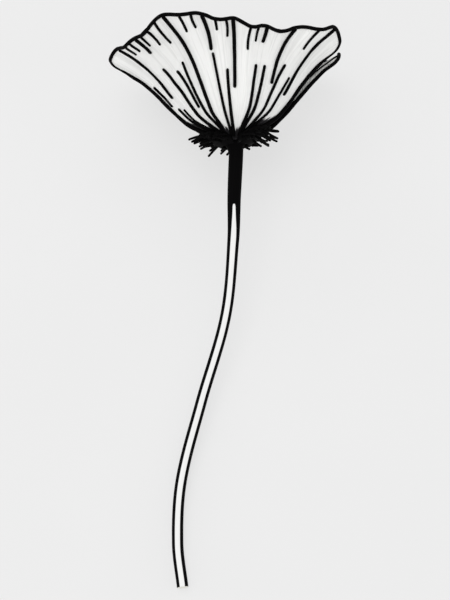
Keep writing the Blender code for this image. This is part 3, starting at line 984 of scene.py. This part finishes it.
def stamen_tree():
    """Plants stamens round a ring by the golden angle: a bent thread with a two-lobed anther on its end."""
    tree, given = geometry_tree("stamens", {
        "Count": "Int", "Ring radius": "Float", "Ring height": "Float", "Splay from": "Float",
        "Splay to": "Float", "Shortest": "Float", "Longest": "Float", "Thread radius": "Float",
        "Anther": "Vector", "Seed": "Int", "Skin": "Material"})
    number = add(tree, "GeometryNodeInputIndex")
    around = calculated(tree, "MULTIPLY", number, TURN * GOLDEN_SHARE)
    x = calculated(tree, "COSINE", around)
    y = calculated(tree, "SINE", around)
    out = add(tree, "ShaderNodeCombineXYZ", {}, {"X": x, "Y": y, "Z": 0})
    foot = add(tree, "ShaderNodeVectorMath", {"operation": "SCALE"}, {
        "Vector": out, "Scale": given.outputs["Ring radius"]})
    height = add(tree, "ShaderNodeCombineXYZ", {}, {"Z": given.outputs["Ring height"]})
    place = add(tree, "ShaderNodeVectorMath", {"operation": "ADD"}, {0: foot, 1: height})
    feet = add(tree, "GeometryNodePoints", {}, {"Count": given.outputs["Count"], "Position": place})
    splay = add(tree, "ShaderNodeMapRange", {}, {
        "Value": number, "From Max": given.outputs["Count"],
        "To Min": given.outputs["Splay from"], "To Max": given.outputs["Splay to"]})
    outwards = calculated(tree, "SINE", splay)
    upwards = calculated(tree, "COSINE", splay)
    sideways = add(tree, "ShaderNodeVectorMath", {"operation": "SCALE"}, {"Vector": out, "Scale": outwards})
    rise = add(tree, "ShaderNodeCombineXYZ", {}, {"Z": upwards})
    way = add(tree, "ShaderNodeVectorMath", {"operation": "ADD"}, {0: sideways, 1: rise})
    turn = add(tree, "FunctionNodeAlignRotationToVector", {"axis": "Z"}, {"Vector": way})
    twist = add(tree, "FunctionNodeRandomValue", {"data_type": "FLOAT"}, {
        "Min": 0, "Max": TURN, "Seed": given.outputs["Seed"]})
    twist_way = add(tree, "ShaderNodeCombineXYZ", {}, {"Z": twist})
    turned = add(tree, "FunctionNodeRotateRotation", {"rotation_space": "LOCAL"}, {
        "Rotation": turn, "Rotate By": twist_way})
    grow = add(tree, "FunctionNodeRandomValue", {"data_type": "FLOAT"}, {
        "Min": given.outputs["Shortest"], "Max": given.outputs["Longest"], "Seed": given.outputs["Seed"]})
    longest = calculated(tree, "DIVIDE", grow, given.outputs["Longest"])
    end = add(tree, "ShaderNodeCombineXYZ", {}, {"Z": given.outputs["Longest"]})
    middle = add(tree, "ShaderNodeVectorMath", {"operation": "MULTIPLY_ADD"}, {
        0: end, 1: (0, 0, FILAMENT_BOW_AT), 2: (FILAMENT_BOW, 0, 0)})
    thread = add(tree, "GeometryNodeCurveQuadraticBezier", {}, {
        "Resolution": FILAMENT_STEPS, "Start": (0, 0, 0), "Middle": middle, "End": end})
    section = add(tree, "GeometryNodeCurvePrimitiveCircle", {}, {
        "Resolution": FILAMENT_SIDES, "Radius": given.outputs["Thread radius"]})
    filament = add(tree, "GeometryNodeCurveToMesh", {}, {
        "Curve": thread, "Profile Curve": section, "Fill Caps": True})
    lobe = add(tree, "GeometryNodeMeshIcoSphere", {}, {"Radius": 1, "Subdivisions": 2})
    lobes = [
        add(tree, "GeometryNodeTransform", {}, {
            "Geometry": lobe, "Scale": given.outputs["Anther"],
            "Translation": add(tree, "ShaderNodeVectorMath", {"operation": "MULTIPLY_ADD"}, {
                0: given.outputs["Anther"], 1: (side, 0, 0), 2: end})})
        for side in (-ANTHER_LOBE_OFFSET, ANTHER_LOBE_OFFSET)
    ]
    stamen = add(tree, "GeometryNodeJoinGeometry", {}, {"Geometry": filament})
    for each in lobes:
        tree.links.new(each.outputs[0], stamen.inputs[0])
    planted = add(tree, "GeometryNodeInstanceOnPoints", {}, {
        "Points": feet, "Instance": stamen, "Rotation": turned, "Scale": longest})
    both = add(tree, "GeometryNodeJoinGeometry", {}, {"Geometry": given.outputs["Geometry"]})
    tree.links.new(planted.outputs[0], both.inputs[0])
    return end_tree(tree, given, both)


def make_stamens(soot):
    def ring_point(u, v):
        out = Vector((math.cos(TURN * u), math.sin(TURN * u), 0))
        wire = math.cos(TURN * v) * out + Vector((0, 0, math.sin(TURN * v)))
        return out * STAMEN_RING_RADIUS + wire * STAMEN_RING_WIRE + Vector((0, 0, STAMEN_RING_HEIGHT))

    ring = sheet("stamens", STAMEN_RING_COLUMNS, STAMEN_RING_ROWS, ring_point, merge=True)
    mesh = grown("stamens", ring, stamen_tree(), {
        "Count": STAMENS, "Ring radius": STAMEN_RING_RADIUS, "Ring height": STAMEN_RING_HEIGHT,
        "Splay from": STAMEN_SPLAY[0], "Splay to": STAMEN_SPLAY[1], "Shortest": STAMEN_LENGTH[0],
        "Longest": STAMEN_LENGTH[1], "Thread radius": FILAMENT_RADIUS, "Anther": ANTHER,
        "Seed": STAMEN_SEED, "Skin": soot})
    mesh.transform(BLOOM)
    piece("stamens", painted(mesh, soot), "stamens")


def make_capsule(skin):
    """The ovary: a ribbed barrel under a flat cap, with rounded rays raised on the cap."""
    lengths = [0.0]
    for (r0, z0), (r1, z1) in zip(CAPSULE, CAPSULE[1:]):
        lengths.append(lengths[-1] + math.hypot(r1 - r0, z1 - z0))
    radii = [(length / lengths[-1], radius) for length, (radius, _) in zip(lengths, CAPSULE)]
    heights = [(length / lengths[-1], height) for length, (_, height) in zip(lengths, CAPSULE)]
    cap_end = lengths[CAP_POINTS] / lengths[-1]

    def ray(u, v):
        radius = through(radii, v) * MM
        if v > cap_end:
            return Vector((0, 0, 0))
        off = abs((u * RAYS + 0.5) % 1 - 0.5) * TURN * radius / RAYS
        inner = smooth_step((radius - RAY_REACH[0]) / RAY_END)
        outer = smooth_step((RAY_REACH[1] - radius) / RAY_END)
        return Vector((smooth_step(1.5 - 2 * off / RAY_WIDTH) * inner * outer, 0, 0))

    def place_point(u, v):
        radius = max(through(radii, v), 0.0) * MM
        height = through(heights, v) * MM + RAY_RISE * ray(u, v).x
        if v > cap_end:
            radius *= 1 - CAPSULE_SEAM * math.cos(TURN * RAYS * u) ** SEAM_POWER
        if v in (0.0, 1.0):
            radius = 0.0
        return BLOOM @ Vector((radius * math.cos(TURN * u), radius * math.sin(TURN * u), height))

    mesh = sheet("capsule", CAPSULE_COLUMNS, CAPSULE_ROWS, place_point, {"ray": ray}, merge=True)
    piece("capsule", painted(mesh, skin), "capsule")


# Stage, light and camera

def make_floor():
    def place_point(u, v):
        return Vector(((u - 0.5) * FLOOR_SIZE, (v - 0.5) * FLOOR_SIZE, -FLOOR_DROP))

    mesh = sheet("floor", 8, 8, place_point)
    floor = bpy.data.objects.new("floor", painted(mesh, painted_glow_table()))
    bpy.context.scene.collection.objects.link(floor)


def make_light():
    """Soft studio light: an even pale surround, and a large softbox up on the left."""
    world = bpy.data.worlds.new("studio")
    world.use_nodes = True
    surround = world.node_tree.nodes["Background"]
    surround.inputs["Color"].default_value = colour("#FFFFFF")
    surround.inputs["Strength"].default_value = SURROUND_STRENGTH
    bpy.context.scene.world = world
    softbox = bpy.data.lights.new("softbox", "AREA")
    softbox.shape = "DISK"
    softbox.size = SOFTBOX_SIZE
    softbox.energy = SOFTBOX_POWER
    lamp = bpy.data.objects.new("softbox", softbox)
    bpy.context.scene.collection.objects.link(lamp)
    lamp.location = SOFTBOX_PLACE
    lamp.rotation_euler = (-lamp.location).to_track_quat("-Z", "Y").to_euler()
    bpy.context.scene.view_settings.view_transform = "Standard"


def make_camera():
    """Looks down on the flower, so that the bloom's base falls on its pixel of the frame."""
    data = bpy.data.cameras.new("camera")
    data.lens = LENS
    data.sensor_width = SENSOR
    data.clip_start = CLIP_START
    camera = bpy.data.objects.new("camera", data)
    bpy.context.scene.collection.objects.link(camera)
    bpy.context.scene.camera = camera
    ahead = Vector((0, math.cos(CAMERA_ELEVATION), -math.sin(CAMERA_ELEVATION)))
    right = Vector((1, 0, 0))
    up = right.cross(ahead)
    focal = LENS / SENSOR * FRAME_HEIGHT
    column, row = BASE_COLUMN - FRAME_WIDTH / 2, BASE_ROW - FRAME_HEIGHT / 2
    camera.location = BLOOM_BASE - (ahead * focal + right * column - up * row) * PIXEL
    camera.rotation_euler = ahead.to_track_quat("-Z", "Y").to_euler()


def main():
    make_camera()
    make_light()
    make_floor()
    outer_tissue = petal_tissue("petal_tissue_outer_face", *OUTER_BLOTCH)
    inner_tissue = petal_tissue("petal_tissue_inner_face", *INNER_BLOTCH)
    pigment = vein_pigment()
    lines = line_tree()
    for name in PETALS:
        make_petal(name, outer_tissue, inner_tissue)
        make_lines(name, lines, pigment)
    bristles, bract = bristle_tree(), sepal_skin()
    for name in SEPALS:
        make_sepal(name, bristles, bract)
    make_stem(stem_skin())
    make_stamens(stamen_tissue())
    make_capsule(capsule_skin())


main()
